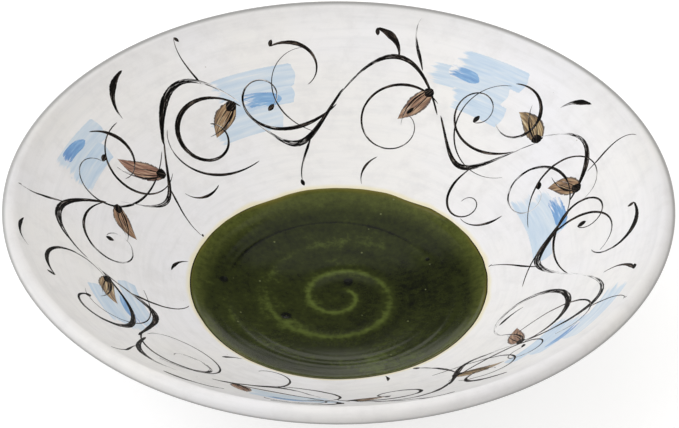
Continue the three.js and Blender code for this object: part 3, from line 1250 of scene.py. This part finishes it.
vine = {
    "waves": 7,
    "middle": 38,
    "swing": 18,
    "azimuth": 12,
    "lift": 0.05,
    "stemFrom": (0.42, 0.6),  # bays before the crest
    "stemTo": (0.36, 0.6),
    "stemDrift": (-4, 4),
    # strokes that leave the vine: bays before the crest, degrees off it, length, first and last
    # bend, and how late the bend comes
    "tendril": ((0.42, 0.55), (4, 16), (66, 84), (0.03, 0.045), (0.1, 0.22), 1.7),
    "sprig": ((0.1, 0.3), (20, 45), (30, 48), (-0.04, 0.03), (0.14, 0.34), 1.3),
    # loose strokes: slant, degrees past the crest, heading, length, first and last bend
    "troughComma": ((58, 66), (-9, 3), (-35, 35), (32, 50), (0.02, 0.06), (0.07, 0.15)),
    "crestComma": ((66, 71), (5, 11), (-35, 35), (14, 24), (0.02, 0.06), (0.07, 0.15)),
    "dab": ((7, 15), (-6, 6), (0, 360), (12, 20), (0.02, 0.1), (0.1, 0.2)),
    "lowArc": ((14, 26), (-14, 2), (-20, 20), (48, 74), (0.035, 0.05), (0.06, 0.1)),
    "highArc": ((46, 58), (-14, 2), (-20, 20), (48, 74), (0.035, 0.05), (0.06, 0.1)),
    # the brush in each kind of stroke: width, where it is widest, tail, load, how much of the
    # load it loses, and how late
    "brush": {
        "stem": ((2.3, 4.2), (0.25, 0.6), 0.12, 0.78, (0.2, 0.4), 1.4),
        "tendril": ((1.2, 3.2), (0.15, 0.5), 0.3, 0.8, (0.1, 0.36), 1.0),
        "sprig": ((0.8, 1.8), (0.1, 0.5), 0.25, 0.96, (0.1, 0.3), 1.0),
        "faintSprig": ((0.8, 1.8), (0.1, 0.5), 0.25, 0.72, (0.1, 0.3), 1.0),
        "comma": ((1.6, 3.8), (0.2, 0.6), 0.15, 0.88, (0.2, 0.4), 1.0),
        "dab": ((0.9, 1.8), (0.2, 0.5), 0.12, 0.9, (0.15, 0.3), 1.0),
        "arc": ((0.7, 1.5), (0.3, 0.7), 0.2, 0.9, (0.15, 0.4), 1.0),
    },
    "faintSprigs": 0.35,  # of all
    "tendrilBud": (0.8, (2.6, 4.0), (2.0, 3.0)),  # how many have one, and its length and width
    "sprigBud": (0.7, (2.0, 3.2), (1.5, 2.3)),
    "commaBud": (0.6, (2.6, 3.6), (1.8, 2.6)),
    "budLoad": 0.95,
    "budBend": 0.05,
    "detailLift": 0.07,
    "calyx": ((3.6, 5.0), 0.55),  # length, and width as a share of the leaf's
    "leafEdge": (0.9, 1.4),
    "leafEdgeAside": 1.12,  # how far to the side, in halves of the leaf's width
    "veins": ((0.55, 0.6), (-0.45, 0.6)),  # how far to the side, and width
    "ink": {
        "mixes": (
            ((0.38, "#030303"), (0.56, "#0c0b0a"), (0.66, "#5e554e")),
            ((0.38, "#080605"), (0.54, "#1c1613"), (0.66, "#75675c")),
        ),
        "rim": ("#060505", 0.62, 0.6),
        "hairs": (0.45, 6.0),
        "cover": 1.0,
        "skin": (0.55, 0.08),
    },
}

leaf = {
    "aside": (-0.1, 0.25),  # in bays
    "heading": (25, 70),
    "length": (15, 21),
    "width": (8.0, 11.0),
    "bend": (-0.5, 0.5),
    "lift": 0.045,
    "slip": {
        "mixes": (
            ((0.36, "#4a2a20"), (0.5, "#8e5f4c"), (0.66, "#c3a288")),
            ((0.36, "#43331c"), (0.5, "#8f7145"), (0.66, "#cdb98c")),
        ),
        "rim": ("#241a16", 0.64, 0.85),
        "hairs": (0.8, 9.0),
        "cover": 0.95,
        "skin": whiteCoat["skin"],
    },
}

bay = 180 / vine["waves"]  # degrees


def vineSlant(azimuth):
    wave = math.radians((azimuth - vine["azimuth"]) * vine["waves"])
    return vine["middle"] + vine["swing"] * math.sin(wave)


def vineHeading(azimuth):
    rise = vineSlant(azimuth + 0.5) - vineSlant(azimuth - 0.5)
    return math.degrees(math.atan2(rise, math.radians(1) * wallReach(vineSlant(azimuth))))


def leafPath(slant, azimuth, towards, length, bend):
    reach = wallReach(slant)
    def path(share):
        away, turn = length * share, towards + bend * (share - 0.3)
        return slant + away * math.sin(turn), azimuth + math.degrees(away * math.cos(turn) / reach)
    return path


def leafWidth(width):
    def outline(share):
        pointed = max(math.sin(math.pi * min(share * 1.02, 1)), 0.0) ** 0.75
        return width * (pointed * (1.15 - 0.5 * share) + 0.02)
    return outline


def makeLeaves():
    brush = startBrush()
    leaves = []  # slant, azimuth, heading, length and width of each
    for number in range(2 * vine["waves"]):
        if number % 5 == 3:
            continue
        azimuth = vine["azimuth"] + bay * (number + rnd.uniform(*leaf["aside"]))
        slant = vineSlant(azimuth)
        up = 1 if number % 2 else -1
        towards = math.radians(rnd.uniform(*leaf["heading"]) * up)
        length = rnd.uniform(*leaf["length"])
        blade = leafPath(slant, azimuth, towards, length, rnd.uniform(*leaf["bend"]))
        width = rnd.uniform(*leaf["width"])
        leaves.append((slant, azimuth, math.degrees(towards), length, width))
        paint(brush, blade, leafWidth(width), drying(0.92, 0.25), leaf["lift"], 0.5, 8)
    slip = brushed("iron and ochre slip dabs", leaf["slip"])
    newPiece(brush[0], "bamboo_leaf_dabs", slip)
    return leaves


def stroke(brush, path, kind):
    belly, widest, tail, load, dried, power = vine["brush"][kind]
    width = tapered(rnd.uniform(*belly), rnd.uniform(*widest), tail)
    paint(brush, path, width, drying(load, rnd.uniform(*dried), power), vine["lift"])


def stem(crest, swapped):
    first = crest - bay * rnd.uniform(*vine["stemFrom"])
    last = crest + bay * rnd.uniform(*vine["stemTo"])
    if swapped:
        first, last = last, first
    drift = rnd.uniform(*vine["stemDrift"])
    def path(share):
        azimuth = between(first, last, share)
        return vineSlant(azimuth) + drift * (2 * share - 1), azimuth
    return path


def shoot(crest, side, kind):
    back, away, length, firstBend, lastBend, power = vine[kind]
    root = crest - bay * rnd.uniform(*back)
    return flourish(
        vineSlant(root), root, vineHeading(root) + side * rnd.uniform(*away),
        rnd.uniform(*length), side * rnd.uniform(*firstBend), side * rnd.uniform(*lastBend), power,
    )


def loose(crest, side, kind, towards=0):
    slant, aside, turned, length, firstBend, lastBend = vine[kind]
    return flourish(
        rnd.uniform(*slant), crest + rnd.uniform(*aside), towards + rnd.uniform(*turned),
        rnd.uniform(*length), side * rnd.uniform(*firstBend), side * rnd.uniform(*lastBend), 1.0,
    )


def bud(brush, place, towards, length, width):
    path = flourish(*place, towards, length, vine["budBend"], vine["budBend"])
    paint(brush, path, oval(width), drying(vine["budLoad"], 0), vine["detailLift"], 0.35)


def perhapsBud(brush, place, kind):
    chance, length, width = vine[kind]
    if rnd.random() < chance:
        bud(brush, place, rnd.uniform(0, 360), rnd.uniform(*length), rnd.uniform(*width))


def makeVine(leaves):
    brush = startBrush()
    for number in range(2 * vine["waves"]):
        up = 1 if number % 2 == 0 else -1
        crest = vine["azimuth"] + bay * (number + 0.5)
        stroke(brush, stem(crest, number % 3 == 1), "stem")
        # the tendril that leaves the vine and curls in the bay under its crest
        tendril = shoot(crest, -up, "tendril")
        stroke(brush, tendril, "tendril")
        perhapsBud(brush, tendril(1.0), "tendrilBud")
        # a sprig thrown off the other way, towards the rim or the pool
        sprig = shoot(crest, up, "sprig")
        stroke(brush, sprig, "faintSprig" if rnd.random() < vine["faintSprigs"] else "sprig")
        perhapsBud(brush, sprig(1.0), "sprigBud")
        # loose strokes near the rim: one over each trough, and a smaller one beside each crest
        side = rnd.choice((-1, 1))
        comma = loose(crest, -side, "crestComma" if up > 0 else "troughComma", 90 - 90 * side)
        stroke(brush, comma, "comma")
        perhapsBud(brush, comma(0.0), "commaBud")
        # a short dab between the crest and the pool
        if up > 0:
            stroke(brush, loose(crest, side, "dab"), "dab")
        # a wide thin arc across the vine, drawn with the point of the brush
        if number % 4 != 2:
            side = rnd.choice((-1, 1))
            stroke(brush, loose(crest, side, "lowArc" if side > 0 else "highArc"), "arc")
    # a dark calyx where each leaf hangs, a line drawn along one side of it, and two veins
    calyxLength, calyxWidth = vine["calyx"]
    for slant, azimuth, towards, length, width in leaves:
        bud(brush, (slant, azimuth), towards, rnd.uniform(*calyxLength), calyxWidth * width)
        side = rnd.choice((-1, 1))
        leafEdge = (vine["leafEdgeAside"], rnd.uniform(*vine["leafEdge"]))
        for aside, thick in (leafEdge, *vine["veins"]):
            bend = side * aside / length
            turn = towards - side * aside * 28
            line = flourish(slant, azimuth, turn, (0.7 + 0.35 * abs(aside)) * length, bend, bend)
            paint(brush, line, tapered(thick, 0.4), drying(0.85, 0.3), vine["detailLift"])
    ink = brushed("iron oxide brushwork", vine["ink"])
    newPiece(brush[0], "iron_vine_brushwork", ink)


makeMist()
makeVine(makeLeaves())


# Studio: white sweep, soft light from the left and from behind, and the camera

studio = {
    "floorSize": 6.0,  # metres, as all of the studio is
    "paper": "#b8b8b8",
    "paperGlow": 0.68,
    "white": "#ffffff",
    "softboxes": (  # name, azimuth, height, size, power, colour
        ("softbox", 200, 45, 1.5, 10.5, "#f5f9ff"),
        ("back_softbox", 96, 69, 1.15, 1.95, "#ffffff"),
    ),
    "softboxDistance": 1.6,
    "fill": ("#fefcf8", 0.8),
    "reflected": ((0.175, "#ffffff"), (0.3, "#616161")),  # white sweep, with a grey room over it
    "elevation": 38.508,
    "distance": 1.0,
    "target": (0.0003, 0, 0.05445),
    "lens": 146.08,
    "sensor": 36,
    "nearest": 0.01,
}

bm = bmesh.new()
bmesh.ops.create_grid(bm, x_segments=1, y_segments=1, size=studio["floorSize"] / 2)
floorMesh = bpy.data.meshes.new("floor")
bm.to_mesh(floorMesh)
bm.free()
floor = bpy.data.objects.new("floor", floorMesh)
bpy.context.scene.collection.objects.link(floor)

# Matt white paper. What sees it straight or in a reflection gets it glowing to full white,
# less the shadow of the plate
paper, tree = newMaterial("matt white paper sweep")
ray = addNode(tree, "ShaderNodeLightPath")
seen = addNode(
    tree, "ShaderNodeMath", {"operation": "MAXIMUM"},
    {0: ray.outputs["Is Camera Ray"], 1: ray.outputs["Is Glossy Ray"]},
)
seenAll = addNode(
    tree, "ShaderNodeMath", {"operation": "MAXIMUM"},
    {0: seen.outputs["Value"], 1: ray.outputs["Is Transmission Ray"]},
)
matt = addNode(tree, "ShaderNodeBsdfDiffuse", {"Color": colour(studio["paper"])})
glow = addNode(
    tree, "ShaderNodeEmission", {"Color": colour(studio["white"]), "Strength": studio["paperGlow"]},
)
both = addNode(tree, "ShaderNodeAddShader", {}, {0: matt.outputs["BSDF"], 1: glow.outputs["Emission"]})
shown = addNode(
    tree, "ShaderNodeMixShader", {},
    {0: seenAll.outputs["Value"], 1: matt.outputs["BSDF"], 2: both.outputs["Shader"]},
)
addNode(tree, "ShaderNodeOutputMaterial", {}, {"Surface": shown.outputs["Shader"]})
floorMesh.materials.append(paper)

# The world: white to the camera, the sweep and the room in reflections, and an even fill light
world = bpy.data.worlds.new("studio")
bpy.context.scene.world = world
world.use_nodes = True
tree = world.node_tree
tree.nodes.clear()
ray = addNode(tree, "ShaderNodeLightPath")
seen = addNode(
    tree, "ShaderNodeMath", {"operation": "MAXIMUM"},
    {0: ray.outputs["Is Glossy Ray"], 1: ray.outputs["Is Transmission Ray"]},
)
direction = addNode(tree, "ShaderNodeNewGeometry")
parts = addNode(tree, "ShaderNodeSeparateXYZ", {}, {"Vector": direction.outputs["Position"]})
sweep = addNode(
    tree, "ShaderNodeValToRGB", {"stops": studio["reflected"]}, {"Fac": parts.outputs["Z"]},
)
reflected = addNode(
    tree, "ShaderNodeBackground", {"Strength": 1.0}, {"Color": sweep.outputs["Color"]},
)
white = addNode(tree, "ShaderNodeBackground", {"Color": colour(studio["white"]), "Strength": 1.0})
fillTone, fillStrength = studio["fill"]
fill = addNode(tree, "ShaderNodeBackground", {"Color": colour(fillTone), "Strength": fillStrength})
mirrored = addNode(
    tree, "ShaderNodeMixShader", {},
    {0: seen.outputs["Value"], 1: fill.outputs["Background"], 2: reflected.outputs["Background"]},
)
backdrop = addNode(
    tree, "ShaderNodeMixShader", {},
    {0: ray.outputs["Is Camera Ray"], 1: mirrored.outputs["Shader"], 2: white.outputs["Background"]},
)
addNode(tree, "ShaderNodeOutputWorld", {}, {"Surface": backdrop.outputs["Shader"]})

for name, azimuth, height, size, power, tone in studio["softboxes"]:
    across, rise = heading(azimuth), heading(height)
    place = studio["softboxDistance"] * Vector((across.x * rise.x, across.y * rise.x, rise.y))
    box = bpy.data.lights.new(name, "AREA")
    box.shape = "SQUARE"
    box.size = size
    box.energy = power
    box.color = colour(tone)[:3]
    softbox = bpy.data.objects.new(name, box)
    softbox.location = place
    softbox.rotation_euler = place.to_track_quat("Z", "Y").to_euler()
    bpy.context.scene.collection.objects.link(softbox)

lens = bpy.data.cameras.new("camera")
lens.lens = studio["lens"]
lens.sensor_width = studio["sensor"]
lens.clip_start = studio["nearest"]
camera = bpy.data.objects.new("camera", lens)
tilt = math.radians(studio["elevation"])
back = Vector((0, -math.cos(tilt), math.sin(tilt)))
camera.location = Vector(studio["target"]) + back * studio["distance"]
camera.rotation_euler = back.to_track_quat("Z", "Y").to_euler()
bpy.context.scene.collection.objects.link(camera)
bpy.context.scene.camera = camera
bpy.context.scene.view_settings.view_transform = "Standard"
print("studio ready")
